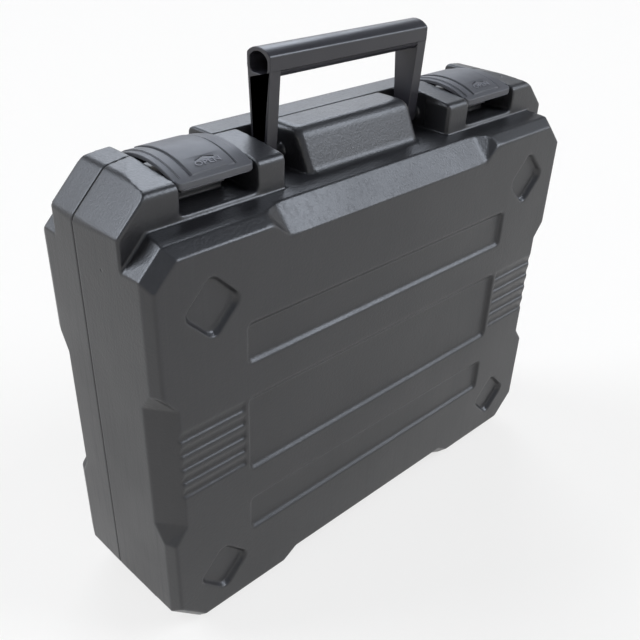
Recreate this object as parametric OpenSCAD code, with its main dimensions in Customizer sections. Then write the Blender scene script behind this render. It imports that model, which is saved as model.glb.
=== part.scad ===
// Hard tool case standing on its hinge edge: two blow-moulded halves, a folding
// handle and two snap latches. X is the width, the decorated front looks along -Y,
// Z is up. The origin is under the middle of the case, on the floor.

/* [Case] */
// Overall width
case_w = 380; // [360:1:420]
// Height of the shoulders above the floor
ledge_h = 282.5; // [270:0.5:310]
// Height of the rim above the shoulders
rim_rise = 25.3; // [24:0.1:30]
// Depth of the front half, from the parting plane
front_depth = 65.6; // [63:0.1:80]
// Depth of the rear half, from the parting plane
rear_depth = 43.8; // [42:0.1:60]
// Depth of the front half's rim
front_rim = 41.9; // [41:0.1:44]
// Depth of the rear half's rim
rear_rim = 22.7; // [22.4:0.1:25]
// Gap between the closed halves
part_gap = 0.3; // [0.2:0.05:0.5]
// Thickness of the side walls
wall = 6; // [5:0.1:7]
// Thickness of the two large faces
face_wall = 6; // [5:0.1:8]

/* [Outline] */
// Legs of the top corner chamfers of the body
top_chamfer = 18.5; // [12:0.5:24]
// Legs of the bottom corner chamfers
bottom_chamfer = 23.5; // [20:0.5:28]
// Legs of the top corner chamfers of the rim
rim_chamfer = 23; // [18:0.5:24]
// Fall of the rim's top from the parting plane to the front
rim_fall = 5.2; // [2:0.1:6]
// Radius of the outline's corners
outline_r = 5; // [2:0.5:8]
// Radius of the rim's corners seen from the front
rim_r = 8; // [3:0.5:10]
// Radius of the rim's front and rear edges
rim_edge_r = 5; // [2:0.5:6]
// Radius of the rim's corners at the handle's recess
bay_r = 4; // [1:0.5:5]
// Radius of the rim's corners at the latch pockets
pocket_r = 2; // [0.5:0.5:3]
// Inward draft of each side wall
side_draft = 1.7; // [0.5:0.1:3]

/* [Face bevels] */
// How far behind the face its bevel starts
bevel_back = 8.2; // [6:0.1:10]
// Width of the bevel at the sides
side_bevel = 3.3; // [2:0.1:5]
// Height of the bevel at the top
top_bevel = 5.6; // [4:0.1:8]
// Height of the bevel at the bottom
bottom_bevel = 8.5; // [5:0.1:10]
// Inset of the bevel at the four corners
corner_bevel = 6.4; // [4:0.1:8]
// Radius of the edges of the face and its bevel
edge_r = 2.5; // [1:0.5:4]
// Fall of the shoulders from the rim to the bevel
ledge_fall = 1.9; // [0.5:0.1:3]

/* [Notches in the bevels] */
// How far the side notches cut in at the face
side_notch = 14.4; // [10:0.1:16]
// How far behind the face the front's notches start
front_notch_back = 18.6; // [14:0.1:20]
// How far behind the face the rear's notches start
rear_notch_back = 15.5; // [12:0.1:17]
// Height of the middle of the side notches
side_notch_z = 140; // [130:1:150]
// Length of the side notches at their full depth
side_notch_len = 88; // [70:1:100]
// Length of each tapered end of a side notch
side_notch_taper = 12; // [8:1:20]
// Width of the top notch at its full depth
top_notch_w = 184; // [150:1:200]
// Height of the top notch on the face
top_notch = 15; // [10:0.1:17]
// Width of the bottom notch at its full depth
bottom_notch_w = 166; // [140:1:190]
// Height of the bottom notch on the face
bottom_notch = 15.9; // [12:0.1:17]
// Width of each tapered end of the top and bottom notches
notch_taper = 12; // [8:1:22]
// How much nearer to the face the top and bottom notches start than the side ones
notch_shift = 3.5; // [2:0.1:4]

/* [Face panels] */
// Width of the three stepped panels
panel_w = 250; // [220:1:254]
// Height of the top of the upper panel
panel_top_z = 221; // [216:0.5:226]
// Height of the upper and lower panels
panel_h = 28.5; // [20:0.5:30]
// Height of the middle panel
mid_panel_h = 57.7; // [50:0.1:60]
// Plain height between two panels
panel_gap = 23.5; // [18:0.5:26]
// Depth of a panel
panel_depth = 2.6; // [1.5:0.1:3.5]
// Width of the sloped walls above and below a panel
panel_strip = 3; // [2:0.1:5]
// Width of the steep walls at a panel's ends
panel_end = 1; // [0.5:0.1:3]
// Radius of a panel's corners
panel_r = 4; // [2:0.5:9]

/* [Diamonds] */
// Distance of the diamonds from the middle
diamond_x = 148.4; // [146:0.1:152]
// Height of the upper diamonds
diamond_top_z = 240.5; // [236:0.5:242]
// Height of the lower diamonds
diamond_low_z = 41; // [40:0.5:44]
// Half diagonal of a diamond
diamond_half = 21.2; // [18:0.1:22]
// Depth of a diamond
diamond_depth = 3.6; // [2:0.1:4]
// Radius of a diamond's corners
diamond_r = 6.5; // [2:0.5:8]
// Run of a diamond's walls towards its middle for each unit of depth
diamond_slope = 0.8; // [0.4:0.1:1.3]

/* [Side ribs] */
// Number of steps in each group
rib_count = 5; // [3:1:6]
// Distance from step to step
rib_pitch = 10.5; // [9:0.1:12]
// Distance of the inner end from the middle
rib_inner_x = 128; // [128:0.5:135]
// Height of the lower edge of the top step
rib_top_z = 160.7; // [158:0.1:164]
// Depth of a step
rib_depth = 1.8; // [1:0.1:2.5]
// Plain height between two steps
rib_land = 2.1; // [1:0.1:4]

/* [Latches] */
// Distance of each latch from the middle
latch_x = 122.5; // [120:0.5:125]
// Width of a latch
latch_w = 52; // [46:0.5:54]
// Side gap between a latch and its pocket
latch_gap = 1; // [0.6:0.1:2.5]
// Radius of the latch's curved back
latch_r = 63; // [58:0.5:70]
// Thickness of the latch's plate
latch_plate = 3.2; // [2.6:0.1:3.6]
// Width of the latch's raised panel
latch_panel_w = 29; // [24:1:34]
// Height of that panel above the rails beside it
latch_panel_rise = 0.6; // [0.3:0.1:1]
// Width of the groove beside the panel
latch_groove_w = 1.4; // [0.8:0.1:2.5]
// Depth of the groove
latch_groove_d = 0.9; // [0.4:0.1:1.2]
// Width of the lowered strip along each side
latch_step_w = 4; // [2:0.5:5]
// Drop of that strip
latch_step_d = 0.8; // [0.4:0.1:1.2]
// Radius of the latch's front corners seen from above
latch_corner_r = 3; // [1:0.5:5]
// Height of the lip along the latch's front edge
latch_lip = 3.5; // [2.5:0.1:5]
// Reach of the latch in front of the parting plane
latch_front = 39.7; // [38:0.1:40.5]
// Height of the latch's back above the rim
latch_proud = 2; // [1.5:0.1:3]
// Distance of the latch's crown in front of the parting plane
latch_crown_y = 9; // [7:0.1:11]
// Distance of the latch pin behind the parting plane
latch_pivot_y = 17.5; // [16:0.1:17.6]
// Radius of the latch's barrel
latch_barrel_r = 4.6; // [4:0.1:4.8]
// Side clearance of the latch's barrel
barrel_gap = 0.5; // [0.3:0.1:0.8]
// Diameter of the latch pin
latch_pin_d = 4; // [3:0.1:4.5]
// Height of the pocket's floor above the shoulders
pocket_floor = 3.1; // [2.5:0.1:4]
// Height of the rear pocket's floor above the shoulders
rear_pocket_floor = 9.5; // [7:0.1:9.8]
// Distance of the catch in front of the parting plane
catch_y = 19.9; // [16:0.1:21]
// Thickness of the catch
catch_t = 3; // [2.5:0.1:3.5]
// Height of the catch above the pocket's floor
catch_h = 9.4; // [7:0.1:10]
// Width of the latch's hook
hook_w = 30; // [20:1:36]
// Thickness of the hook
hook_t = 3; // [2:0.1:3.5]
// Clearance between the hook and the catch
hook_gap = 0.4; // [0.3:0.05:0.6]

/* [Handle] */
// Overall width of the handle
handle_w = 137.2; // [134:0.2:140]
// Width of each leg
leg_w = 8.6; // [7:0.1:9]
// Height of the handle above the rim
handle_rise = 46.7; // [42:0.1:52]
// Depth of the grip
grip_d = 20.2; // [18:0.1:21]
// Height of the grip
grip_h = 17; // [15:0.1:19]
// Rise of the grip's domed top
grip_crown = 4; // [2:0.1:5]
// Wall of the hollow grip
grip_wall = 2.4; // [2:0.1:3]
// Radius of the edges where the dome starts
grip_top_r = 2; // [1:0.1:3]
// Radius of the grip's bottom edges
grip_bottom_r = 6; // [4:0.1:8]
// Radius of the feet
foot_r = 6.3; // [5.5:0.1:6.6]
// Radius of the bosses that keep the feet in the middle of their slots
boss_r = 4.2; // [4:0.1:5.5]
// Thickness of the leg's rib
leg_rib = 1.4; // [1.2:0.1:1.8]
// Thickness of the leg's inner plate
leg_plate = 2.2; // [1.8:0.1:3]
// Distance of the handle's pins in front of the parting plane
handle_pivot_y = 10.8; // [10.6:0.1:11.4]
// Gap between the folded handle and the shoulders
fold_gap = 0.4; // [0.2:0.1:1]
// Diameter of the handle's pins
handle_pin_d = 5; // [4:0.1:5.5]
// Length of a handle pin that sits in the hump
handle_pin_seat = 5; // [3:0.5:8]
// Side clearance at the handle's feet
foot_gap = 0.4; // [0.3:0.05:0.6]
// Half width of the recess that the handle stands in
bay_half = 75.5; // [74:0.5:77]
// Half width of the hump between the legs
hump_half = 51; // [48:0.5:53]
// Depth of the hump at its top
hump_top_d = 24.7; // [22:0.1:26]
// Depth of the hump at its foot
hump_foot_d = 37.4; // [35:0.1:38.5]
// Radius of the hump's corners seen from above
hump_r = 5; // [2:0.5:8]
// Radius of the hump's top edges
hump_edge_r = 5; // [2:0.5:7]
// Radius of the fillet along the hump's foot
hump_fillet = 7; // [3:0.5:7]
// Thickness of the pad on each side wall of the recess
pad_t = 0.9; // [0.5:0.1:2]
// Height of the pads above the shoulders
pad_h = 19; // [15:0.5:20]
// Distance of the pads in front of the parting plane
pad_y = 20.6; // [19:0.1:25]

/* [Hinge] */
// Distance of each hinge from the middle
hinge_x = 100; // [95:1:110]
// Length of a hinge
hinge_len = 80; // [60:1:90]
// Length of the rear half's knuckle
mid_knuckle = 36; // [25:1:40]
// Radius of the knuckles
knuckle_r = 5; // [4.6:0.1:5]
// Height of the hinge pin above the floor
hinge_z = 5.4; // [5.3:0.05:5.5]
// Diameter of the hinge pins
hinge_pin_d = 4; // [3:0.1:4.4]
// Height of the recess that the hinge lies in
recess_h = 11.6; // [11.4:0.1:12.5]
// Depth of the front half's recess
front_recess = 45; // [44.6:0.1:46]
// Side clearance between two knuckles
knuckle_gap = 0.5; // [0.4:0.05:0.6]
// Radial clearance of every pin in its bore
pin_fit = 0.06; // [0.03:0.01:0.09]

/* [Nest] */
// Gap between an inner skin and its shell
skin_gap = 0.2; // [0.15:0.05:0.4]
// Distance of the inner skins from the parting plane
skin_back = 1; // [0.5:0.1:2]
// Depth of the tool pockets in the front half
nest_depth = 50; // [40:1:51]
// Depth of the pockets in the rear half
lid_nest_depth = 30; // [20:1:31]
// Radius of the pockets' corners
nest_r = 9; // [5:0.5:12]
// Least wall between two pockets
nest_wall = 10; // [8:0.5:14]
// Height of the pocket for the tool's barrel
barrel_pocket_h = 72; // [60:1:78]
// Width of the pocket for the charger
charger_pocket_w = 112; // [100:1:120]
// Height of the pocket for the battery
battery_pocket_h = 72; // [60:1:80]
// Width of the pocket for the tool's grip
grip_pocket_w = 60; // [50:1:66]
// Width of the pocket for small accessories
bit_pocket_w = 52; // [44:1:58]
// Depth of the pocket for small accessories
bit_pocket_depth = 36; // [20:1:50]
// Height of the pocket for the tool's foot
foot_pocket_h = 54; // [40:1:70]
// Distance of the grip's pocket from the side of the foot's pocket
grip_shift = 34; // [28:1:44]
// Border of the inner skins outside the pockets
nest_border = 14; // [12:0.5:18]

/* [Hidden] */
$fn = 48;

black = [0.17, 0.17, 0.18];
dark = [0.12, 0.12, 0.13];
inside = [0.22, 0.22, 0.23];
steel = [0.72, 0.73, 0.75];

half_w = case_w / 2;
rim_top = ledge_h + rim_rise;
part_y = (front_depth - rear_depth) / 2;
over = 1;
far = 20;
least_wall = 5;
least_film = 0.02;
space_r = 6;
space_draft = 1;
notch_cover = 2;
flank = side_draft / (front_depth - bevel_back);
rim_shoulder = 2.5;
pocket_half = latch_w / 2 + latch_gap;
latch_centre_z = rim_top + latch_proud - latch_r;
latch_pivot_z = latch_centre_z
  + sqrt(pow(latch_r - latch_barrel_r, 2) - pow(latch_pivot_y + latch_crown_y, 2));
latch_pin_seat = 4;
pin_end_gap = 0.3;
pin_end_wall = 0.6;
leg_len = rim_rise + handle_rise - (grip_h + grip_d) / 2;
folded_half = foot_r + (grip_d / 2 - foot_r) * (front_rim - handle_pivot_y) / leg_len;
handle_pivot_z = ledge_h + fold_gap + folded_half;
handle_pin_from = hump_half - handle_pin_seat;
handle_pin_to = latch_x - pocket_half - pin_end_wall;
handle_top = rim_top + handle_rise;
leg_inner = handle_w / 2 - leg_w;
end_knuckle = (hinge_len - mid_knuckle) / 2 - knuckle_gap;
skin_floor = recess_h + least_wall;

// Unit vector along v
function unit(v) = v / norm(v);

// Angle from a to b, taken the short way round
function turn(a, b) = let (d = b - a) d > 180 ? d - 360 : d < -180 ? d + 360 : d;

// Points of the arc of radius r that rounds the corner b between a and c
function corner_arc(a, b, c, r, n = 6) =
  let (u = unit(a - b), v = unit(c - b), half = acos(u * v) / 2,
       mid = b + unit(u + v) * r / sin(half),
       p = b + u * r / tan(half) - mid, q = b + v * r / tan(half) - mid,
       from = atan2(p[1], p[0]), sweep = turn(from, atan2(q[1], q[0])))
  [for (i = [0:n]) mid + r * [cos(from + sweep * i / n), sin(from + sweep * i / n)]];

// Outline whose corners are rounded by radii, where 0 leaves a corner sharp
function rounded(points, radii) =
  let (n = len(points))
  [for (i = [0:n - 1]) each radii[i] > 0
    ? corner_arc(points[(i + n - 1) % n], points[i], points[(i + 1) % n], radii[i])
    : [points[i]]];

// Mirror image of a right-hand outline, so that it closes over the middle
function both_sides(points) =
  concat(points, [for (i = [len(points) - 1:-1:0]) [-points[i][0], points[i][1]]]);

// An outline of x and z drawn along +Y from the parting plane
module along_y(d) translate([0, d, 0]) rotate([90, 0, 0]) linear_extrude(d) children();

// An outline of y and z drawn along X, centred
module along_x(w) translate([-w / 2, 0, 0]) rotate([90, 0, 90]) linear_extrude(w) children();

// Both copies of something drawn on the right
module pair() {
  children();
  mirror([1, 0, 0]) children();
}

// The front half is drawn outward along +Y and turned to face -Y
module to_front() mirror([0, 1, 0]) children();

// Everything is drawn from the parting plane, then set over the origin
module placed() translate([0, part_y, 0]) children();

// Outline of the body seen from the front
function body_outline() = let (r = outline_r) rounded(both_sides([
  [half_w - bottom_chamfer, 0], [half_w, bottom_chamfer],
  [half_w, ledge_h - top_chamfer], [half_w - top_chamfer, ledge_h]]),
  [for (i = [0:7]) r]);

// Outline of the rim seen from the front, open over the latches and, with a bay, over
// the handle's recess
function rim_outline(floor_h, bay) =
  let (foot = half_w - bottom_chamfer + recess_h,
       side_z = rim_top - rim_shoulder - rim_chamfer,
       outer = latch_x + pocket_half, inner = latch_x - pocket_half, low = ledge_h + floor_h,
       points = concat([[foot, recess_h], [half_w, bottom_chamfer], [half_w, side_z],
         [half_w - rim_chamfer, rim_top - rim_shoulder], [outer, rim_top], [outer, low],
         [inner, low], [inner, rim_top]], bay ? [[bay_half, rim_top], [bay_half, ledge_h]] : []),
       radii = concat([0, outline_r, rim_r, rim_r, pocket_r, 0, 0, pocket_r], bay ? [bay_r, 0] : []),
       n = len(radii))
  rounded(both_sides(points), [for (i = [0:2 * n - 1]) radii[i < n ? i : 2 * n - 1 - i]]);

// Side walls with their draft and bevel, seen from above
function flank_outline(depth) = rounded(both_sides([[half_w, 0],
  [half_w - flank * (depth - bevel_back), depth - bevel_back],
  [half_w - flank * (depth - bevel_back) - side_bevel, depth]]),
  [0, edge_r, edge_r, edge_r, edge_r, 0]);

// Section of the body from the floor to the shoulder
function body_section(depth, rim) = rounded([[0, 0], [depth - bevel_back, 0],
  [depth, bottom_bevel], [depth, ledge_h - ledge_fall - top_bevel],
  [depth - bevel_back, ledge_h - ledge_fall], [rim, ledge_h], [0, ledge_h]],
  [0, edge_r, edge_r, edge_r, edge_r, 0, 0]);

// The bevel that crosses one corner of the face, leaning dir times 45 degrees
module corner_cut(depth, x, z, dir) {
  lean = corner_bevel / bevel_back;
  translate([x, 0, z]) rotate([0, -45 * dir, 0]) translate([0, 0, -far * 2])
    linear_extrude(far * 4) polygon([[0, depth - bevel_back],
      [-corner_bevel - over * lean, depth + over], [far, depth + over],
      [far, depth - bevel_back]]);
}

// Wedge with tapered ends: full section over len, the plain bevel's section past it
module notch(len, taper, full, plain) hull() {
  linear_extrude(len, center = true) polygon(full);
  linear_extrude(len + 2 * taper, center = true) polygon(plain);
}

module side_notches(depth, back) {
  bevel_x = half_w - flank * (depth - bevel_back);
  pair() translate([0, 0, side_notch_z]) notch(side_notch_len, side_notch_taper,
    [[half_w, depth - back], [half_w - side_notch, depth],
     [half_w - side_notch, depth + over], [half_w + over, depth + over],
     [half_w + over, depth - back]],
    [[bevel_x, depth - bevel_back], [bevel_x - side_bevel, depth],
     [bevel_x, depth + over]]);
}

module top_notch_cut(depth, back) {
  top = ledge_h - ledge_fall;
  rotate([90, 0, 90]) notch(top_notch_w, notch_taper,
    [[depth - back, top + ledge_fall], [depth, top - top_notch], [depth + over, top - top_notch],
     [depth + over, top + far / 2], [depth - back, top + far / 2]],
    [[depth - bevel_back, top], [depth, top - top_bevel], [depth + over, top]]);
}

module bottom_notch_cut(depth, back) rotate([90, 0, 90])
  notch(bottom_notch_w, notch_taper,
    [[depth - back, 0], [depth, bottom_notch], [depth + over, bottom_notch],
     [depth + over, -over], [depth - back, -over]],
    [[depth - bevel_back, 0], [depth, bottom_bevel], [depth + over, 0]]);

// A sunk panel with sloped walls and round corners
module panel_cut(depth, top_z, h) {
  strip = [panel_end, panel_strip];
  mouth = [panel_w, h] + 2 * over / panel_depth * strip;
  bed = [panel_w, h] - 2 * strip;
  x = mouth[0] / 2;
  z = mouth[1] / 2;
  translate([0, depth + over, top_z - h / 2]) rotate([90, 0, 0])
    linear_extrude(panel_depth + over, scale = [bed[0] / mouth[0], bed[1] / mouth[1]], slices = 1)
    polygon(rounded([[-x, -z], [x, -z], [x, z], [-x, z]], [panel_r, panel_r, panel_r, panel_r]));
}

module panel_cuts(depth) {
  second = panel_top_z - panel_h - panel_gap;
  panel_cut(depth, panel_top_z, panel_h);
  panel_cut(depth, second, mid_panel_h);
  panel_cut(depth, second - mid_panel_h - panel_gap, panel_h);
}

// Rounded square standing on its corner, with sloped walls
module diamond_cut(depth, z) {
  mouth = diamond_half + diamond_slope * over;
  bed = diamond_half - diamond_slope * diamond_depth;
  pair() translate([diamond_x, depth + over, z]) rotate([90, 0, 0])
    linear_extrude(diamond_depth + over, scale = bed / mouth, slices = 1)
    polygon(rounded([for (i = [0:3]) mouth * [cos(i * 90), sin(i * 90)]],
      [for (i = [0:3]) diamond_r]));
}

// Steps that run from the panels out to the side notch
module rib_cuts(depth) {
  len = half_w - side_notch - rib_inner_x + over;
  pair() for (i = [0:rib_count - 1])
    translate([rib_inner_x + len / 2, depth, rib_top_z - i * rib_pitch])
    along_x(len) polygon([[0, rib_pitch - rib_land], [-rib_depth, rib_depth], [0, 0], [over, 0],
      [over, rib_pitch - rib_land]]);
}

// Outside of one half, with its face worked
module half_form(depth, rim, recess, back, section, outline) difference() {
  intersection() {
    translate([0, 0, -over]) linear_extrude(rim_top + 2 * over) polygon(flank_outline(depth));
    union() {
      intersection() {
        along_y(depth) polygon(body_outline());
        along_x(case_w + 2 * over) polygon(body_section(depth, rim));
      }
      intersection() {
        along_y(rim) polygon(outline);
        along_x(case_w + 2 * over) polygon(section);
      }
    }
  }
  translate([-half_w - over, -over, -over]) cube([case_w + 2 * over, recess + over, recess_h + over]);
  translate([-half_w - over, -over, -over])
    cube([case_w + 2 * over, part_gap / 2 + over, rim_top + 2 * over]);
  pair() {
    corner_cut(depth, half_w - top_chamfer / 2, ledge_h - top_chamfer / 2, 1);
    corner_cut(depth, half_w - bottom_chamfer / 2, bottom_chamfer / 2, -1);
  }
  side_notches(depth, back);
  top_notch_cut(depth, back - notch_shift);
  bottom_notch_cut(depth, back - notch_shift);
  panel_cuts(depth);
  diamond_cut(depth, diamond_top_z);
  diamond_cut(depth, diamond_low_z);
  rib_cuts(depth);
}

// Space inside one half, drawn in by inset
module inner_space(depth, back, inset) {
  w = half_w - wall - inset;
  slope = (2 - sqrt(2)) * (wall + inset);
  top = ledge_h - wall - inset;
  floor_z = skin_floor + inset;
  low = bottom_chamfer - floor_z + (sqrt(2) - 1) * (wall + inset);
  deep = depth - face_wall - inset;
  intersection() {
    along_y(deep) polygon(rounded(both_sides([[w - low, floor_z], [w, floor_z + low],
      [w, top - top_chamfer + slope], [w - top_chamfer + slope, top]]), [for (i = [0:7]) space_r]));
    linear_extrude(rim_top) polygon(both_sides([[w, 0], [w - space_draft, depth - back - over],
      [half_w - side_notch - wall + notch_cover - inset, deep]]));
    along_x(case_w) polygon([[0, floor_z], [deep, floor_z], [deep, top - top_notch + notch_cover],
      [depth - back, top], [0, top]]);
  }
}

// Knuckles of one half: rings along x from a list of [start, length]
module knuckles(spans) difference() {
  pair() for (s = spans) translate([s[0], 0, hinge_z]) {
    rotate([0, 90, 0]) cylinder(r = knuckle_r, h = s[1]);
    translate([0, part_gap / 2, 0]) cube([s[1], knuckle_r - part_gap / 2, recess_h - hinge_z + over]);
  }
  pin_bore(hinge_x - hinge_len / 2 - over, hinge_len + 2 * over, hinge_z, 0, hinge_pin_d);
}

// Bores along X on both sides, from x over len
module pin_bore(x, len, z, y, d) pair() translate([x, y, z]) rotate([0, 90, 0])
  cylinder(d = d + 2 * pin_fit, h = len);

// Start and length of each knuckle of the front half, then of the rear half
outer_spans = [[hinge_x - hinge_len / 2, end_knuckle],
  [hinge_x + hinge_len / 2 - end_knuckle, end_knuckle]];
mid_span = [[hinge_x - mid_knuckle / 2, mid_knuckle]];

// Section of the front rim: falls to the front, with a rounded front edge
function front_rim_section() = rounded([[0, recess_h], [front_rim, recess_h],
  [front_rim, rim_top - rim_fall], [0, rim_top]], [0, 0, rim_edge_r, 0]);

// Section of the rear rim: flat, with a rounded rear edge
function rear_rim_section() = rounded([[0, recess_h], [rear_rim, recess_h],
  [rear_rim, rim_top], [0, rim_top]], [0, 0, rim_edge_r, 0]);

// Hump between the handle's legs: slanted front, soft edges and a fillet along its foot
module hump() {
  slant = (hump_foot_d - hump_top_d) / rim_rise;
  steps = 4;
  hull() for (i = [-1:steps]) {
    a = 90 * i / steps;
    z = i < 0 ? ledge_h - over : rim_top - hump_edge_r * (1 - sin(a));
    inset = i < 0 ? 0 : hump_edge_r * (1 - cos(a));
    front = hump_top_d + slant * (rim_top - z) - inset;
    side = hump_half - inset;
    translate([0, 0, z - least_film]) linear_extrude(least_film) polygon(rounded(
      [[-side, part_gap / 2], [side, part_gap / 2], [side, front], [-side, front]],
      [0, 0, hump_r, hump_r]));
  }
  along_x((hump_half - hump_r) * 2) polygon(concat(
    corner_arc([hump_foot_d + far, ledge_h], [hump_foot_d, ledge_h], [hump_top_d, rim_top], hump_fillet),
    [[hump_top_d, ledge_h - over], [hump_foot_d + hump_fillet, ledge_h - over]]));
}

// Bosses that hold the handle's feet in the middle of their slots
module foot_bosses() pair() {
  translate([0, handle_pivot_y, handle_pivot_z]) rotate([0, 90, 0]) {
    translate([0, 0, hump_half - over]) cylinder(r = boss_r, h = leg_inner - foot_gap - hump_half + over);
    translate([0, 0, handle_w / 2 + foot_gap])
      cylinder(r = boss_r, h = bay_half - handle_w / 2 - foot_gap + over);
  }
}

// Pads on the side walls of the handle's recess
module side_pads() pair() translate([bay_half - pad_t, pad_y, ledge_h - over])
  cube([pad_t + over, front_rim - rim_edge_r / 2 - pad_y, pad_h + over]);

module front_shell() color(black) placed() to_front() {
  difference() {
    union() {
      half_form(front_depth, front_rim, front_recess, front_notch_back, front_rim_section(),
        rim_outline(pocket_floor, true));
      hump();
      foot_bosses();
      side_pads();
    }
    inner_space(front_depth, front_notch_back, 0);
    pin_bore(handle_pin_from, handle_pin_to - handle_pin_from + over, handle_pivot_z,
      handle_pivot_y, handle_pin_d);
  }
  pair() translate([latch_x - hook_w / 2 - over, catch_y, ledge_h + pocket_floor - over])
    cube([hook_w + 2 * over, catch_t, catch_h + over]);
  knuckles(outer_spans);
}

module rear_shell() color(black) placed() {
  difference() {
    half_form(rear_depth, rear_rim, rear_rim, rear_notch_back, rear_rim_section(),
      rim_outline(rear_pocket_floor, false));
    inner_space(rear_depth, rear_notch_back, 0);
    pin_bore(latch_x - pocket_half - latch_pin_seat, pocket_half * 2 + 2 * latch_pin_seat,
      latch_pivot_z, latch_pivot_y, latch_pin_d);
  }
  knuckles(mid_span);
}

// A pocket in an inner skin, from its low corner
module nest_pocket(x0, z0, x1, z1, deep) translate([0, skin_back - over, 0]) along_y(deep + over)
  polygon(rounded([[x0, z0], [x1, z0], [x1, z1], [x0, z1]], [nest_r, nest_r, nest_r, nest_r]));

nest_side = half_w - wall - nest_border;
nest_low = skin_floor + nest_border;
nest_high = ledge_h - wall - nest_border;
charger_x = nest_side - charger_pocket_w;
grip_x = nest_side - bit_pocket_w - nest_wall;

module front_liner() color(inside) placed() to_front() difference() {
  inner_space(front_depth, front_notch_back, skin_gap);
  translate([-half_w, -over, 0]) cube([case_w, skin_back + over, rim_top]);
  nest_pocket(-nest_side, nest_high - barrel_pocket_h, charger_x - nest_wall, nest_high, nest_depth);
  nest_pocket(-grip_x + grip_shift, nest_low, -grip_x + grip_shift + grip_pocket_w,
    nest_high - nest_r, nest_depth);
  nest_pocket(-grip_x, nest_low, charger_x - nest_wall, nest_low + foot_pocket_h, nest_depth);
  nest_pocket(charger_x, nest_low + battery_pocket_h + nest_wall, nest_side, nest_high, nest_depth);
  nest_pocket(charger_x, nest_low, nest_side, nest_low + battery_pocket_h, nest_depth);
  nest_pocket(-nest_side, nest_low, -nest_side + bit_pocket_w,
    nest_high - barrel_pocket_h - nest_wall, bit_pocket_depth);
}

module rear_liner() color(inside) placed() difference() {
  inner_space(rear_depth, rear_notch_back, skin_gap);
  translate([-half_w, -over, 0]) cube([case_w, skin_back + over, rim_top]);
  nest_pocket(-nest_side, nest_low, charger_x - nest_wall, nest_high, lid_nest_depth);
  nest_pocket(charger_x, nest_low, nest_side, nest_high, lid_nest_depth);
}

// Section of the grip: flat sides, a domed top and a soft underside
module grip_section(shrink) {
  w = grip_d / 2 - shrink;
  side = grip_h - grip_crown - shrink;
  dome_r = (w * w + grip_crown * grip_crown) / (2 * grip_crown);
  half = asin(w / dome_r);
  steps = 8;
  dome = [for (i = [1:steps - 1]) let (a = half * (1 - 2 * i / steps))
    [dome_r * sin(a), side + grip_crown - dome_r * (1 - cos(a))]];
  belly = grip_bottom_r - shrink;
  polygon(rounded(concat([[-w, shrink], [w, shrink], [w, side]], dome, [[-w, side]]),
    concat([belly, belly, grip_top_r], [for (p = dome) 0], [grip_top_r])));
}

// Side view of a leg, from the foot to the middle of the grip
module leg_profile(shrink) {
  top = handle_top - grip_h / 2;
  polygon([[-grip_d / 2 + shrink, top], [-foot_r + shrink, handle_pivot_z],
    [foot_r - shrink, handle_pivot_z], [grip_d / 2 - shrink, top]]);
}

module handle_leg() translate([leg_inner, 0, 0]) rotate([90, 0, 90]) difference() {
  linear_extrude(leg_w) {
    leg_profile(0);
    translate([0, handle_pivot_z]) circle(foot_r);
  }
  translate([0, 0, leg_plate]) linear_extrude(leg_w) difference() {
    leg_profile(grip_wall);
    translate([-grip_d / 2, handle_top - grip_h - over]) square([grip_d, grip_h + over]);
    translate([-grip_d / 2, handle_pivot_z - foot_r]) square([grip_d, foot_r * 2 + over]);
    translate([-leg_rib / 2, handle_pivot_z]) square([leg_rib, handle_top - handle_pivot_z]);
  }
}

module handle() color(dark) placed() to_front() translate([0, handle_pivot_y, 0]) difference() {
  union() {
    pair() handle_leg();
    translate([0, 0, handle_top - grip_h]) along_x(handle_w) grip_section(0);
  }
  translate([0, 0, handle_top - grip_h]) along_x(handle_w + 2 * over) grip_section(grip_wall);
  pin_bore(leg_inner - over, leg_w + 2 * over, handle_pivot_z, 0, handle_pin_d);
}

module handle_pin() color(steel) placed() to_front()
  translate([handle_pin_from, handle_pivot_y, handle_pivot_z]) rotate([0, 90, 0])
    cylinder(d = handle_pin_d, h = handle_pin_to - handle_pin_from);

module handle_pin_left() mirror([1, 0, 0]) handle_pin();
module handle_pin_right() handle_pin();

// Part of a ring round the latch's centre of curvature, between two radii, that stops
// short of the front edge
module latch_arc(r_out, r_in, w, short = 0) intersection() {
  translate([0, -latch_crown_y, latch_centre_z]) rotate([0, 90, 0]) difference() {
    cylinder(r = r_out, h = w, center = true, $fn = 180);
    cylinder(r = r_in, h = w + 2 * over, center = true, $fn = 180);
  }
  translate([-w / 2 - over, short - latch_front, rim_top - far])
    cube([w + 2 * over, latch_front - short + latch_pivot_y, far * 2]);
}

// What lies under the latch's curved back, cut to it with a depth of cover
module under_back(cover) intersection() {
  children();
  translate([0, -latch_crown_y, latch_centre_z]) rotate([0, 90, 0])
    cylinder(r = latch_r - cover, h = latch_w, center = true, $fn = 180);
}

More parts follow.
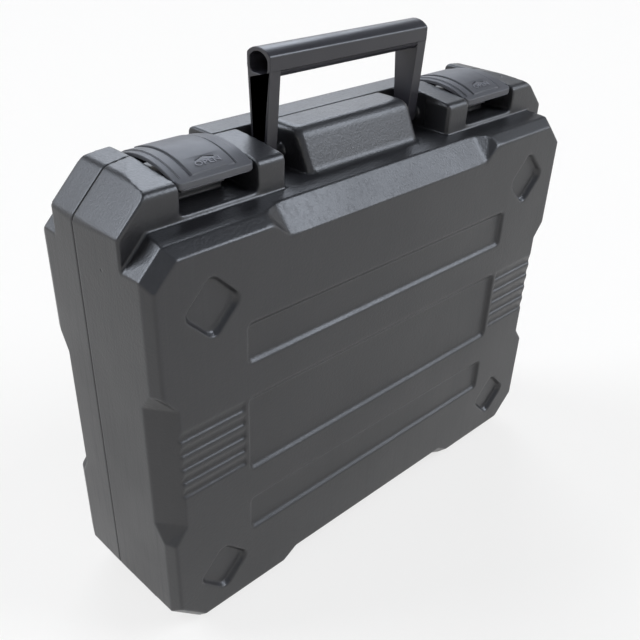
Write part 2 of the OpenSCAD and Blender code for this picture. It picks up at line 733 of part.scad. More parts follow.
// Curved back with its panel, rails and lip
module latch_back() {
  lip_z = latch_centre_z + sqrt(pow(latch_r, 2) - pow(latch_front - latch_crown_y, 2)) - latch_lip;
  side = latch_w / 2;
  intersection() {
    difference() {
      union() {
        latch_arc(latch_r, latch_r - latch_plate, latch_w);
        latch_arc(latch_r + latch_panel_rise, latch_r - over, latch_panel_w, latch_plate);
        under_back(0) translate([-side, -latch_front, lip_z]) cube([latch_w, latch_plate, far / 2]);
      }
      pair() translate([(latch_panel_w + latch_groove_w) / 2, 0, 0])
        latch_arc(latch_r + over, latch_r - latch_groove_d, latch_groove_w, latch_plate);
      pair() translate([side - (latch_step_w - over) / 2, 0, 0])
        latch_arc(latch_r + over, latch_r - latch_step_d, latch_step_w + over, latch_plate);
    }
    translate([0, 0, rim_top - far]) linear_extrude(far * 2) polygon(rounded(
      [[-side, -latch_front], [side, -latch_front], [side, far * 2], [-side, far * 2]],
      [latch_corner_r, latch_corner_r, 0, 0]));
  }
}

module latch() color(dark) placed() translate([latch_x, 0, 0]) difference() {
  hook_y = -catch_y - catch_t - hook_gap - hook_t;
  hook_z = ledge_h + pocket_floor + catch_h / 2;
  union() {
    latch_back();
    translate([-pocket_half + barrel_gap, latch_pivot_y, latch_pivot_z]) rotate([0, 90, 0])
      cylinder(r = latch_barrel_r, h = 2 * (pocket_half - barrel_gap));
    under_back(over) translate([-hook_w / 2, hook_y, hook_z]) cube([hook_w, hook_t, far]);
  }
  translate([-pocket_half, latch_pivot_y, latch_pivot_z]) rotate([0, 90, 0])
    cylinder(d = latch_pin_d + 2 * pin_fit, h = 2 * pocket_half);
}

module latch_left() mirror([1, 0, 0]) latch();
module latch_right() latch();

module latch_pin() color(steel) placed()
  translate([latch_x - pocket_half - latch_pin_seat + pin_end_gap, latch_pivot_y, latch_pivot_z])
    rotate([0, 90, 0])
    cylinder(d = latch_pin_d, h = 2 * (pocket_half + latch_pin_seat - pin_end_gap));

module latch_pin_left() mirror([1, 0, 0]) latch_pin();
module latch_pin_right() latch_pin();

module hinge_pin() color(steel) placed() translate([hinge_x - hinge_len / 2, 0, hinge_z])
  rotate([0, 90, 0]) cylinder(d = hinge_pin_d, h = hinge_len);

module hinge_pin_left() mirror([1, 0, 0]) hinge_pin();
module hinge_pin_right() hinge_pin();

front_shell();
rear_shell();
front_liner();
rear_liner();
handle();
handle_pin_left();
handle_pin_right();
latch_left();
latch_right();
latch_pin_left();
latch_pin_right();
hinge_pin_left();
hinge_pin_right();
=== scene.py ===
"""Hard tool case: looks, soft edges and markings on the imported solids.

Laid out as an add-on: property groups hold the sizes and colours, one operator dresses
each group of pieces, and main() runs them in order.
"""

import math

import bmesh
import bpy
import numpy as np
from mathutils import Matrix, Vector


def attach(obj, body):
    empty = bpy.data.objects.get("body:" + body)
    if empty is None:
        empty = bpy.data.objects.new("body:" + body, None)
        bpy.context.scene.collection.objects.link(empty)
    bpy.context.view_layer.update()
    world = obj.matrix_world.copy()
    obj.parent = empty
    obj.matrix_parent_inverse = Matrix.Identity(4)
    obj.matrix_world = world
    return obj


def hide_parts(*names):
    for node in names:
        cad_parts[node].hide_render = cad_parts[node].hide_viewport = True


bl_info = {
    "name": "Hard tool case",
    "version": (1, 0, 0),
    "blender": (4, 5, 0),
    "location": "View3D > Sidebar > Tool Case",
    "description": "Dresses a blow-moulded tool case: soft edges, plastics, marks, studio",
    "category": "Object",
}

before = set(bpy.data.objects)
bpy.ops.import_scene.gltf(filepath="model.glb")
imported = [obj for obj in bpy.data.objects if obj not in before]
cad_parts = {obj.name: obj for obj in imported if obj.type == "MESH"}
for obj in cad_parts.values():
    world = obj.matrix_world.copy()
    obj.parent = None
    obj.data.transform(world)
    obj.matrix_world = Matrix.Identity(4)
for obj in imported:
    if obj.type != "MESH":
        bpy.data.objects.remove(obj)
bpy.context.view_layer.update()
MM = 0.001

# The camera that the photograph was taken with, solved on the case's own corners.
CAMERA_AT = (-0.37945, -0.36286, 0.45986)
CAMERA_YAW, CAMERA_PITCH, CAMERA_ROLL = 44.86, -33.16, 1.82
FOCAL_PX, CENTRE_PX, IMAGE_PX = 818.15, (312.16, 357.54), 640

# Sizes that the part's source gives the latches, from the case's parting plane.
PART_Y = 10.9 * MM
LATCH_X = 122.5 * MM
LATCH_PANEL_R = 63.6 * MM
LATCH_CROWN_Y = 9.0 * MM
LATCH_CENTRE_Z = 246.8 * MM

# Marks on a latch, in millimetres across and ahead of its crown: the arrow's corners, the
# slot's half length and two long sides, and the word's width, height and middle line.
ARROW = [[-6.8, 19.2], [0, 16.6], [6.8, 19.2], [6.2, 20.0], [0, 18.0], [-6.2, 20.0]]
SLOT_HALF, SLOT_NEAR, SLOT_FAR = 10, 28.2, 29.8
WORD_WIDTH, WORD_TALL, WORD_AHEAD = 16.8, 3.5, 22.7
SLOT_SHARE = 0.4  # the slot's depth, as a share of the arrow's
BURIED_SHARE = 0.4  # how deep the letters start under the panel, as a share of their height

# The blown skins: smoothing after the resampling, the share of the triangles that is kept,
# the grid of the inner skins over that of the outer ones, and where an edge gets its painted
# highlight.
SOFT_SHARE, SOFT_PASSES = 0.5, 2
KEPT_SHARE = 0.15
LINER_GRID = 1.75
EASE_REACH, EASE_PASSES = 6 * MM, 14
EDGE_HIGHLIGHT_REACH, EDGE_HIGHLIGHT_PASSES = 0.12 * MM, 3

# The moulded pieces: faces that are one face, edges that get a radius, and edges that stay
# sharp in the shading, all as the angle between two faces in degrees.
FLAT_ANGLE, EDGE_ANGLE, SHARP_ANGLE = 0.5, 18, 40
EDGE_SEGMENTS = 3

# Points closer than this are one point: in a CAD mesh, and in a mark.
CAD_GAP, MARK_GAP = 0.01 * MM, 0.001 * MM

# Edges of the front half that the moulding leaves softest, as lines in millimetres: the
# lips of the latch pockets, and the valley and the crest at each end of the top notch.
FRONT_SOFT = [
    [[side * a[0], *a[1:]], [side * b[0], *b[1:]]]
    for side in (-1, 1)
    for a, b in (
        ((98, -31, 285.6), (147, -31, 285.6)),
        ((92, -39.6, 282.5), (92, -54.7, 265.6)),
        ((104, -46.5, 280.6), (104, -54.7, 275)),
    )
]


def linear(code):
    """Linear RGBA of an sRGB hex colour such as "#2b2b2d"."""
    s = np.array([int(code[i : i + 2], 16) / 255 for i in (1, 3, 5)])
    low, high = s / 12.92, ((s + 0.055) / 1.055) ** 2.4
    return (*np.where(s <= 0.04045, low, high).tolist(), 1.0)


def times(colour, factor):
    """A linear RGBA colour made darker or lighter."""
    return (*(part * factor for part in colour[:3]), 1.0)


def add(tree, kind, links=None, **values):
    """Adds a node. Each value sets the property or the input of its name, with _ for a space
    and _6 for input number 6, and links feed inputs from the outputs of other nodes."""
    node = tree.nodes.new(kind)
    for key, value in values.items():
        if hasattr(node, key):
            setattr(node, key, value)
        else:
            place = int(key[1:]) if key[1:].isdigit() else key.replace("_", " ")
            node.inputs[place].default_value = value
    for key, socket in (links or {}).items():
        tree.links.new(socket, node.inputs[key])
    return node


def new_material(name):
    """An empty material with its output node."""
    material = bpy.data.materials.new(name)
    material.use_nodes = True
    tree = material.node_tree
    tree.nodes.clear()
    out = add(tree, "ShaderNodeOutputMaterial")
    return material, tree, out


def dress(obj, material):
    """Gives a piece its one material."""
    obj.data.materials.clear()
    obj.data.materials.append(material)


class CaseSettings(bpy.types.PropertyGroup):
    """Sizes and colours of the case"""

    voxel: bpy.props.FloatProperty(
        name="Skin detail", description="Grid on which the blown skins get their soft edges",
        default=0.8 * MM, unit="LENGTH")
    small_edge: bpy.props.FloatProperty(
        name="Small edge", description="Radius of the edges of the injection-moulded pieces",
        default=0.5 * MM, unit="LENGTH")
    mark_height: bpy.props.FloatProperty(
        name="Mark height", description="Height of the raised marks on the latches",
        default=0.4 * MM, unit="LENGTH")
    mark_depth: bpy.props.FloatProperty(
        name="Mark depth", description="Depth of the arrow sunk into the latches",
        default=1.2 * MM, unit="LENGTH")
    skin_colour: bpy.props.StringProperty(
        name="Skin", description="sRGB hex colour of the blow-moulded halves", default="#1f1f21")
    inside_colour: bpy.props.StringProperty(
        name="Inside", description="sRGB hex colour of the pockets", default="#28282a")
    handle_colour: bpy.props.StringProperty(
        name="Handle", description="sRGB hex colour of the handle", default="#29282c")
    latch_colour: bpy.props.StringProperty(
        name="Latches", description="sRGB hex colour of the latches", default="#4a4a4d")
    # The letters are paler than the latch: a painted highlight on their raised tops.
    letter_colour: bpy.props.StringProperty(
        name="Letters", description="sRGB hex colour of the letters, rubbed pale",
        default="#6a6a6e")
    steel_colour: bpy.props.StringProperty(
        name="Steel", description="sRGB hex colour of the pins", default="#6c6d70")


class StudioSettings(bpy.types.PropertyGroup):
    """The floor and the light"""

    floor_colour: bpy.props.StringProperty(
        name="Floor", description="sRGB hex colour of the floor", default="#eae4db")
    floor_lift: bpy.props.FloatProperty(
        name="Floor lift",
        description="How far the seen floor is lifted from its lit colour to white",
        default=0.72)
    lamp_colour: bpy.props.StringProperty(
        name="Lamps", description="sRGB hex colour of the soft boxes", default="#eaf2ff")
    room_colour: bpy.props.StringProperty(
        name="Room", description="sRGB hex colour of the light from all round", default="#f4f8ff")
    ambient: bpy.props.FloatProperty(
        name="Ambient", description="Strength of the light from all round", default=0.12)


def blown_hdpe(settings):
    """HDPE, blow moulded against a blasted tool: a dull satin skin with fine grain, faint
    waves where it cooled unevenly, a few pits of trapped air, upright rub marks, and a
    painted highlight that makes the outer edges lighter. The real grain is 0.3 mm and is
    drawn at 1.5 mm, so that it shows."""
    material, tree, out = new_material("HDPE blow moulded, black")
    where = add(tree, "ShaderNodeTexCoord").outputs["Object"]
    grain = add(tree, "ShaderNodeTexNoise", {"Vector": where}, Scale=1 / (1.5 * MM), Detail=2.0)
    wave = add(tree, "ShaderNodeTexNoise", {"Vector": where}, Scale=1 / (30 * MM), Detail=2.0)
    spot = add(tree, "ShaderNodeTexVoronoi", {"Vector": where}, Scale=1 / (48 * MM))
    pit = add(tree, "ShaderNodeMapRange", {"Value": spot.outputs["Distance"]},
              From_Min=0.014, From_Max=0.03, To_Min=0.0, To_Max=1.0)
    wave_bump = add(tree, "ShaderNodeBump", {"Height": wave.outputs["Fac"]},
                    Strength=0.3, Distance=0.5 * MM)
    pit_bump = add(tree, "ShaderNodeBump",
                   {"Height": pit.outputs[0], "Normal": wave_bump.outputs["Normal"]},
                   Strength=0.8, Distance=0.5 * MM)
    bump = add(tree, "ShaderNodeBump",
               {"Height": grain.outputs["Fac"], "Normal": pit_bump.outputs["Normal"]},
               Strength=0.4, Distance=0.3 * MM)
    cloud = add(tree, "ShaderNodeTexNoise", {"Vector": where}, Scale=1 / (90 * MM), Detail=4.0)
    stretch = add(tree, "ShaderNodeMapping", {"Vector": where},
                  Scale=(1 / (2.5 * MM), 1 / (2.5 * MM), 1 / (50 * MM)))
    rub = add(tree, "ShaderNodeTexNoise", {"Vector": stretch.outputs[0]}, Scale=1.0, Detail=3.0)
    rub_mask = add(tree, "ShaderNodeMapRange", {"Value": rub.outputs["Fac"]},
                   From_Min=0.52, From_Max=0.72, To_Min=0.0, To_Max=1.0)
    # Painted highlight: the base colour grows up to 1.7 times lighter in patches on the outer
    # edges.
    edge = add(tree, "ShaderNodeAttribute", attribute_name="edge")
    edge_highlight = add(tree, "ShaderNodeMath", {0: edge.outputs["Fac"], 1: cloud.outputs["Fac"]},
               operation="MULTIPLY")
    base = linear(settings.skin_colour)
    tint = add(tree, "ShaderNodeMix", {"Factor": cloud.outputs["Fac"]},
               data_type="RGBA", _6=times(base, 0.85), _7=times(base, 1.15))
    # Upright rub marks: real wear, 1.3 times lighter and a little rougher.
    rubbed_and_highlit = add(tree, "ShaderNodeMix", {"Factor": rub_mask.outputs[0], 6: tint.outputs[2]},
                 data_type="RGBA", _7=times(base, 1.3))
    highlighted = add(tree, "ShaderNodeMix", {"Factor": edge_highlight.outputs[0], 6: rubbed_and_highlit.outputs[2]},
                   data_type="RGBA", _7=times(base, 1.7))
    satin = add(tree, "ShaderNodeMapRange", {"Value": cloud.outputs["Fac"]},
                From_Min=0.3, From_Max=0.7, To_Min=0.43, To_Max=0.34)
    rough = add(tree, "ShaderNodeMath", {0: rub_mask.outputs[0], 2: satin.outputs[0]},
                operation="MULTIPLY_ADD", _1=0.07)
    shader = add(tree, "ShaderNodeBsdfPrincipled",
                 {"Base Color": highlighted.outputs[2], "Roughness": rough.outputs[0],
                  "Normal": bump.outputs["Normal"]},
                 IOR=1.54)
    tree.links.new(shader.outputs[0], out.inputs["Surface"])
    return material


def moulded_pp(name, colour, roughness, grain_mm, sheen_mm):
    """Polypropylene, injection moulded: finer and more even than the blown skin, with a
    spark-eroded grain and a slow change of sheen where the melt flowed."""
    material, tree, out = new_material(name)
    where = add(tree, "ShaderNodeTexCoord").outputs["Object"]
    grain = add(tree, "ShaderNodeTexNoise", {"Vector": where},
                Scale=1 / (grain_mm * MM), Detail=2.0)
    flow = add(tree, "ShaderNodeTexNoise", {"Vector": where},
               Scale=1 / (sheen_mm * MM), Detail=3.0)
    bump = add(tree, "ShaderNodeBump", {"Height": grain.outputs["Fac"]},
               Strength=0.25, Distance=0.1 * MM)
    base = linear(colour)
    tint = add(tree, "ShaderNodeMix", {"Factor": flow.outputs["Fac"]},
               data_type="RGBA", _6=times(base, 0.88), _7=times(base, 1.12))
    rough = add(tree, "ShaderNodeMapRange", {"Value": flow.outputs["Fac"]},
                From_Min=0.3, From_Max=0.7, To_Min=roughness + 0.05, To_Max=roughness - 0.05)
    shader = add(tree, "ShaderNodeBsdfPrincipled",
                 {"Base Color": tint.outputs[2], "Roughness": rough.outputs[0],
                  "Normal": bump.outputs["Normal"]},
                 IOR=1.49)
    tree.links.new(shader.outputs[0], out.inputs["Surface"])
    return material


def drawn_steel(settings):
    """Steel wire, drawn and left grey: a dull shine with streaks of 17 by 0.4 mm along its
    length, which lies along X."""
    material, tree, out = new_material("Steel wire, drawn")
    where = add(tree, "ShaderNodeTexCoord").outputs["Object"]
    stretch = add(tree, "ShaderNodeMapping", {"Vector": where},
                  Scale=(1 / (17 * MM), 1 / (0.4 * MM), 1 / (0.4 * MM)))
    streak = add(tree, "ShaderNodeTexNoise", {"Vector": stretch.outputs[0]}, Scale=1.0, Detail=2.0)
    rough = add(tree, "ShaderNodeMapRange", {"Value": streak.outputs["Fac"]},
                From_Min=0.3, From_Max=0.7, To_Min=0.22, To_Max=0.42)
    shader = add(tree, "ShaderNodeBsdfPrincipled", {"Roughness": rough.outputs[0]},
                 Base_Color=linear(settings.steel_colour), Metallic=1.0)
    tree.links.new(shader.outputs[0], out.inputs["Surface"])
    return material


def merged_copy(node, name):
    """Copy of a CAD node whose loose triangles are joined into closed faces."""
    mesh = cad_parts[node].data.copy()
    bm = bmesh.new()
    bm.from_mesh(mesh)
    bmesh.ops.remove_doubles(bm, verts=bm.verts, dist=CAD_GAP)
    bm.to_mesh(mesh)
    bm.free()
    piece = bpy.data.objects.new(name, mesh)
    bpy.context.scene.collection.objects.link(piece)
    return piece


def baked(piece):
    """Puts the result of a piece's modifiers into its own mesh."""
    view = bpy.context.evaluated_depsgraph_get()
    mesh = bpy.data.meshes.new_from_object(piece.evaluated_get(view))
    piece.modifiers.clear()
    piece.data = mesh
    return piece


def vertex_array(mesh):
    """The places of a mesh's vertices, one row each."""
    at = np.empty(len(mesh.vertices) * 3)
    mesh.vertices.foreach_get("co", at)
    return at.reshape(-1, 3)


def neighbour_mean(mesh):
    """A function that gives, for values on the vertices, the mean over each one's neighbours."""
    n = len(mesh.vertices)
    ends = np.empty(len(mesh.edges) * 2, dtype=np.int32)
    mesh.edges.foreach_get("vertices", ends)
    a, b = ends.reshape(-1, 2).T
    count = np.maximum(np.bincount(a, minlength=n) + np.bincount(b, minlength=n), 1)
    return lambda values: (np.bincount(a, values[b], n) + np.bincount(b, values[a], n)) / count


def mark_edges(mesh, reach):
    """Attribute "edge": how far each vertex stands out past the mean of its neighbours,
    along its normal, from 0 on a flat or hollow place to 1 on an outer edge, where it is
    as much as reach. A few passes spread it over the vertices beside the edge."""
    at, mean = vertex_array(mesh), neighbour_mean(mesh)
    out = np.empty(at.size)
    mesh.vertex_normals.foreach_get("vector", out)
    middle = np.stack([mean(at[:, i]) for i in range(3)], axis=1)
    height = np.einsum("ij,ij->i", at - middle, out.reshape(-1, 3))
    for _ in range(EDGE_HIGHLIGHT_PASSES):
        height = (height + mean(height)) / 2
    layer = mesh.attributes.new("edge", "FLOAT", "POINT")
    layer.data.foreach_set("value", np.clip(height / reach, 0, 1).astype(np.float32))


def ease(mesh, lines, reach, passes):
    """Widens the radius of the edges that run along some lines. A vertex's weight falls from
    a half on a line to nothing at reach, and each pass moves it by that share towards the
    mean of its neighbours."""
    at, mean = vertex_array(mesh), neighbour_mean(mesh)
    weight = np.zeros(len(at))
    for start, end in np.asarray(lines, float) * MM:
        line = end - start
        t = np.clip((at - start) @ line / (line @ line), 0, 1)[:, None]
        gap = np.linalg.norm(at - start - t * line, axis=1)
        weight = np.maximum(weight, 0.5 * np.clip(1 - gap / reach, 0, 1))
    for _ in range(passes):
        at += weight[:, None] * (np.stack([mean(at[:, i]) for i in range(3)], axis=1) - at)
    mesh.vertices.foreach_set("co", at.ravel())


def blown_skin(node, voxel, body, soft_lines=()):
    """A blown skin: the solid resampled on a voxel grid, then smoothed, which rounds every
    edge the way a parison does when it is pressed into a corner. The soft lines get a
    larger radius still."""
    piece = merged_copy(node, node + "_skin")
    remesh = piece.modifiers.new("Resample", "REMESH")
    remesh.mode, remesh.voxel_size = "VOXEL", voxel
    smooth = piece.modifiers.new("Soften", "SMOOTH")
    smooth.factor, smooth.iterations = SOFT_SHARE, SOFT_PASSES
    thin = piece.modifiers.new("Thin", "DECIMATE")
    thin.ratio = KEPT_SHARE
    baked(piece)
    piece.data.shade_smooth()
    if soft_lines:
        ease(piece.data, soft_lines, EASE_REACH, EASE_PASSES)
    # This edge mask tells the skin's material where to paint its highlight on the outer edges.
    mark_edges(piece.data, EDGE_HIGHLIGHT_REACH)
    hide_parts(node)
    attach(piece, body)
    return piece


def moulded_copy(node, width, body, sunk=None):
    """An injection-moulded piece: the solid with a small radius on every edge, less the
    sunk marks."""
    piece = merged_copy(node, node + "_moulded")
    bm = bmesh.new()
    bm.from_mesh(piece.data)
    bmesh.ops.dissolve_limit(
        bm, angle_limit=math.radians(FLAT_ANGLE), verts=bm.verts, edges=bm.edges)
    bm.to_mesh(piece.data)
    bm.free()
    bevel = piece.modifiers.new("Soft edges", "BEVEL")
    bevel.width, bevel.segments = width, EDGE_SEGMENTS
    bevel.limit_method, bevel.angle_limit = "ANGLE", math.radians(EDGE_ANGLE)
    bevel.use_clamp_overlap = False
    bevel.miter_outer = "MITER_ARC"
    if sunk:
        cut = piece.modifiers.new("Sunk marks", "BOOLEAN")
        cut.operation, cut.solver, cut.object = "DIFFERENCE", "EXACT", sunk
    baked(piece)
    if sunk:
        bpy.data.objects.remove(sunk)
    piece.data.shade_smooth()
    piece.data.set_sharp_from_angle(angle=math.radians(SHARP_ANGLE))
    piece.modifiers.new("Flat faces", "WEIGHTED_NORMAL").keep_sharp = True
    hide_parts(node)
    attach(piece, body)
    return piece


def on_latch(points, side):
    """Places flat points (across, ahead, height) on a latch's panel: across runs along X,
    ahead is an arc length forward from the crown and height stands out from the arc."""
    across, ahead, height = np.asarray(points, float).T
    turn = ahead / LATCH_PANEL_R
    radius = LATCH_PANEL_R + height
    return np.stack([side * LATCH_X + across,
                     PART_Y - LATCH_CROWN_Y - radius * np.sin(turn),
                     LATCH_CENTRE_Z + radius * np.cos(turn)], axis=1)


def block(outline, low, high, side, name):
    """A closed block on a latch: an outline of across and ahead in millimetres is lifted to
    two heights over the panel's arc, and walls join the two rings point by point."""
    flat = np.asarray(outline, float) * MM
    n = len(flat)
    rings = np.concatenate([np.column_stack([flat, np.full(n, h)]) for h in (low, high)])
    i = np.arange(n)
    k = (i + 1) % n
    walls = np.stack([i, k, n + k, n + i], axis=1).tolist()
    mesh = bpy.data.meshes.new(name)
    mesh.from_pydata(on_latch(rings, side), [], walls + [i[::-1].tolist(), (i + n).tolist()])
    return mesh


def slot_outline(half, near, far):
    """A slot with round ends: two half circles, turned once round, pushed apart."""
    sides = 24
    turn = np.linspace(0, 2 * np.pi, sides, endpoint=False) + np.pi / sides
    r = (far - near) / 2
    across = r * np.cos(turn) + np.sign(np.cos(turn)) * (half - r)
    return np.column_stack([across, (near + far) / 2 + r * np.sin(turn)])


def letters(word, width, tall, height, side, ahead, name):
    """Raised letters on a latch: Blender's own font, a little bolder, as a mesh, stretched to
    a width and a height in millimetres and laid on the panel's arc."""
    curve = bpy.data.curves.new(name, "FONT")
    curve.body, curve.extrude, curve.offset = word, 0.1, 0.012
    curve.resolution_u = 3
    text = bpy.data.objects.new(name, curve)
    bpy.context.scene.collection.objects.link(text)
    view = bpy.context.evaluated_depsgraph_get()
    mesh = bpy.data.meshes.new_from_object(text.evaluated_get(view))
    bpy.data.objects.remove(text)
    flat = vertex_array(mesh)
    low, high = flat.min(axis=0), flat.max(axis=0)
    flat = (flat - (low + high) / 2) / (high - low)
    raised = (flat[:, 2] + 0.5) * (1 + BURIED_SHARE) - BURIED_SHARE
    placed = np.column_stack([flat[:, 0] * width * MM, (ahead - flat[:, 1] * tall) * MM,
                              raised * height])
    mesh.vertices.foreach_set("co", on_latch(placed, side).ravel())
    return mesh


def joined(meshes, name):
    """One piece from several meshes, its faces turned outwards."""
    bm = bmesh.new()
    for mesh in meshes:
        bm.from_mesh(mesh)
    bmesh.ops.remove_doubles(bm, verts=bm.verts, dist=MARK_GAP)
    bmesh.ops.recalc_face_normals(bm, faces=bm.faces)
    whole = bpy.data.meshes.new(name)
    bm.to_mesh(whole)
    bm.free()
    piece = bpy.data.objects.new(name, whole)
    bpy.context.scene.collection.objects.link(piece)
    return piece


class CASE_OT_halves(bpy.types.Operator):
    """Dress the two blow-moulded halves and their inner skins"""

    bl_idname = "tool_case.halves"
    bl_label = "Halves"

    def execute(self, context):
        settings = context.scene.tool_case
        skin = blown_hdpe(settings)
        inside = moulded_pp("HDPE blow moulded, inside", settings.inside_colour,
                            roughness=0.55, grain_mm=0.9, sheen_mm=60)
        for node, body, lines in (("front_shell", "base", FRONT_SOFT), ("rear_shell", "lid", ())):
            dress(blown_skin(node, settings.voxel, body, lines), skin)
        for node, body in (("front_liner", "base"), ("rear_liner", "lid")):
            dress(blown_skin(node, settings.voxel * LINER_GRID, body), inside)
        return {"FINISHED"}


class CASE_OT_handle(bpy.types.Operator):
    """Dress the folding handle"""

    bl_idname = "tool_case.handle"
    bl_label = "Handle"

    def execute(self, context):
        settings = context.scene.tool_case
        plastic = moulded_pp("Polypropylene moulded, handle", settings.handle_colour,
                             roughness=0.36, grain_mm=0.6, sheen_mm=30)
        dress(moulded_copy("handle", settings.small_edge, "handle"), plastic)
        return {"FINISHED"}


class CASE_OT_latches(bpy.types.Operator):
    """Dress the two snap latches, sink the arrow and the slot and raise the letters"""

    bl_idname = "tool_case.latches"
    bl_label = "Latches"

    def execute(self, context):
        settings = context.scene.tool_case
        plastic = moulded_pp("Polypropylene moulded, latches", settings.latch_colour,
                             roughness=0.5, grain_mm=0.7, sheen_mm=20)
        # The letters' paler colour is a painted highlight on their raised tops; only their lower
        # roughness is the polish of rubbing.
        rubbed_and_highlit = moulded_pp("Polypropylene moulded, rubbed letters", settings.letter_colour,
                            roughness=0.4, grain_mm=0.7, sheen_mm=20)
        slot = slot_outline(SLOT_HALF, SLOT_NEAR, SLOT_FAR)
        for side, name in ((-1, "left"), (1, "right")):
            node = "latch_" + name
            sunk = joined([
                block(ARROW, -settings.mark_depth, MM, side, "arrow"),
                block(slot, -SLOT_SHARE * settings.mark_depth, MM, side, "slot"),
            ], "sunk_marks")
            dress(moulded_copy(node, settings.small_edge, node, sunk), plastic)
            word = letters("OPEN", WORD_WIDTH, WORD_TALL, settings.mark_height, side,
                           WORD_AHEAD, "letters")
            marks = joined([word], "latch_marks_" + name)
            dress(marks, rubbed_and_highlit)
            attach(marks, node)
        return {"FINISHED"}


class CASE_OT_pins(bpy.types.Operator):
    """Dress the steel pins"""

    bl_idname = "tool_case.pins"
    bl_label = "Pins"

    def execute(self, context):
        steel = drawn_steel(context.scene.tool_case)
        for name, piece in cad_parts.items():
            if "_pin_" in name:
                dress(piece, steel)
        return {"FINISHED"}


class CASE_OT_studio(bpy.types.Operator):
    """Floor, soft light and the photograph's camera"""

    bl_idname = "tool_case.studio"
    bl_label = "Studio"

    def execute(self, context):
        studio = context.scene.tool_case_studio
        make_camera(context.scene)
        make_floor(studio)
        make_lights(context.scene, studio)
        context.scene.view_settings.view_transform = "Standard"
        return {"FINISHED"}


def make_camera(scene):
    """Camera whose lens centre lies off the image's centre, as solved."""
    yaw, pitch, roll = map(math.radians, (CAMERA_YAW, CAMERA_PITCH, CAMERA_ROLL))
    level = math.cos(pitch)
    forward = Vector((math.sin(yaw) * level, math.cos(yaw) * level, math.sin(pitch)))
    right = Vector((math.cos(yaw), -math.sin(yaw), 0))
    up = right.cross(forward)
    right, up = (right * math.cos(roll) + up * math.sin(roll),
                 up * math.cos(roll) - right * math.sin(roll))
    data = bpy.data.cameras.new("Camera")
    data.sensor_width = 36.0
    data.lens = FOCAL_PX / IMAGE_PX * data.sensor_width
    data.shift_x = 0.5 - CENTRE_PX[0] / IMAGE_PX
    data.shift_y = CENTRE_PX[1] / IMAGE_PX - 0.5
    data.clip_start = 0.02
    camera = bpy.data.objects.new("Camera", data)
    turned = Matrix((right, up, -forward)).transposed().to_4x4()
    camera.matrix_world = Matrix.Translation(CAMERA_AT) @ turned
    scene.collection.objects.link(camera)
    scene.camera = camera


def make_floor(studio):
    """Pale floor with a backdrop in one: a disc whose rim sweeps up all round. The height
    over the radius is a smooth step, 3t^2 - 2t^3, from the disc's rim to the sweep's top.
    What looks at it sees it lifted most of the way to white, with the case's shadow left on it."""
    material, tree, out = new_material("Studio paint, matt")
    shade = add(tree, "ShaderNodeBsdfDiffuse", Color=linear(studio.floor_colour))
    white = add(tree, "ShaderNodeEmission", Color=(1, 1, 1, 1), Strength=1.0)
    path = add(tree, "ShaderNodeLightPath")
    near = add(tree, "ShaderNodeMath",
               {0: path.outputs["Is Camera Ray"], 1: path.outputs["Is Glossy Ray"]},
               operation="MAXIMUM")
    seen = add(tree, "ShaderNodeMath",
               {0: near.outputs[0], 1: path.outputs["Is Transmission Ray"]},
               operation="MAXIMUM")
    lift = add(tree, "ShaderNodeMath", {0: seen.outputs[0]},
               operation="MULTIPLY", _1=studio.floor_lift)
    mix = add(tree, "ShaderNodeMixShader",
              {0: lift.outputs[0], 1: shade.outputs[0], 2: white.outputs[0]})
    tree.links.new(mix.outputs[0], out.inputs["Surface"])
    flat, run, top = 6.0, 3.0, 3.9
    rings, sides = 17, 96
    t = np.linspace(0, 1, rings)[:, None]
    turn = np.linspace(0, 2 * np.pi, sides, endpoint=False)[None, :]
    radius = flat + run * t
    height = top * (3 * t**2 - 2 * t**3)
    points = np.stack([radius * np.cos(turn), radius * np.sin(turn),
                       np.broadcast_to(height, (rings, sides))], axis=-1).reshape(-1, 3)
    i, j = np.meshgrid(np.arange(rings - 1), np.arange(sides), indexing="ij")
    k = (j + 1) % sides
    sweep = np.stack([i * sides + k, i * sides + j, (i + 1) * sides + j, (i + 1) * sides + k],
                     axis=-1).reshape(-1, 4)
    mesh = bpy.data.meshes.new("floor")
    mesh.from_pydata(points, [], [list(range(sides))] + sweep.tolist())
    floor = bpy.data.objects.new("floor", mesh)
    bpy.context.scene.collection.objects.link(floor)
    dress(floor, material)


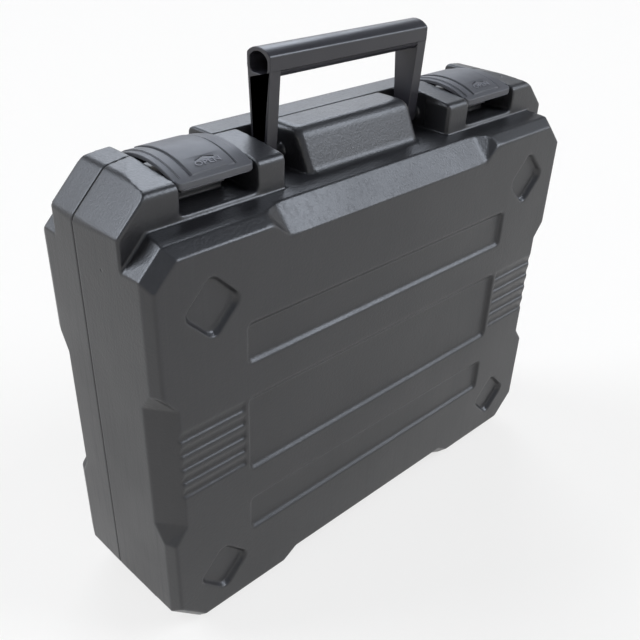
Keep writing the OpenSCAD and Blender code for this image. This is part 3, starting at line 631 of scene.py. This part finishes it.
def make_lights(scene, studio):
    """Soft boxes high to the right and high behind on the left, a window behind, a weak fill
    from the camera's side, and a dim room. Each lamp has the direction it stands in, the
    angle in degrees that it fills, and its strength."""
    world = bpy.data.worlds.new("Studio")
    scene.world = world
    world.use_nodes = True
    tree = world.node_tree
    tree.nodes.clear()
    out = add(tree, "ShaderNodeOutputWorld")
    room = add(tree, "ShaderNodeBackground",
               Color=linear(studio.room_colour), Strength=studio.ambient)
    tree.links.new(room.outputs[0], out.inputs["Surface"])
    for name, towards, width, power in (
        ("right box", (0.60, -0.53, 0.58), 30, 2.1),
        ("left box", (-0.53, 0.59, 0.60), 30, 2.1),
        ("window", (0.48, 0.66, 0.56), 36, 1.6),
        ("front fill", (-0.45, -0.50, 0.74), 60, 0.4),
    ):
        light = bpy.data.lights.new(name, "SUN")
        light.energy, light.angle = power, math.radians(width)
        light.color = linear(studio.lamp_colour)[:3]
        lamp = bpy.data.objects.new(name, light)
        lamp.rotation_mode = "QUATERNION"
        lamp.rotation_quaternion = Vector(towards).to_track_quat("Z", "Y")
        scene.collection.objects.link(lamp)


class CASE_PT_panel(bpy.types.Panel):
    """Buttons for each group of pieces"""

    bl_label = "Tool Case"
    bl_idname = "CASE_PT_panel"
    bl_space_type = "VIEW_3D"
    bl_region_type = "UI"
    bl_category = "Tool Case"

    def draw(self, context):
        for group in (context.scene.tool_case, context.scene.tool_case_studio):
            for key in group.__annotations__:
                self.layout.prop(group, key)
        for operator in OPERATORS:
            self.layout.operator(operator.bl_idname)


OPERATORS = (CASE_OT_studio, CASE_OT_halves, CASE_OT_handle, CASE_OT_latches, CASE_OT_pins)
CLASSES = (CaseSettings, StudioSettings, *OPERATORS, CASE_PT_panel)


def register():
    for cls in CLASSES:
        bpy.utils.register_class(cls)
    bpy.types.Scene.tool_case = bpy.props.PointerProperty(type=CaseSettings)
    bpy.types.Scene.tool_case_studio = bpy.props.PointerProperty(type=StudioSettings)


def unregister():
    del bpy.types.Scene.tool_case_studio
    del bpy.types.Scene.tool_case
    for cls in reversed(CLASSES):
        bpy.utils.unregister_class(cls)


def main():
    register()
    for operator in ("studio", "halves", "handle", "latches", "pins"):
        getattr(bpy.ops.tool_case, operator)()


if __name__ == "__main__":
    main()
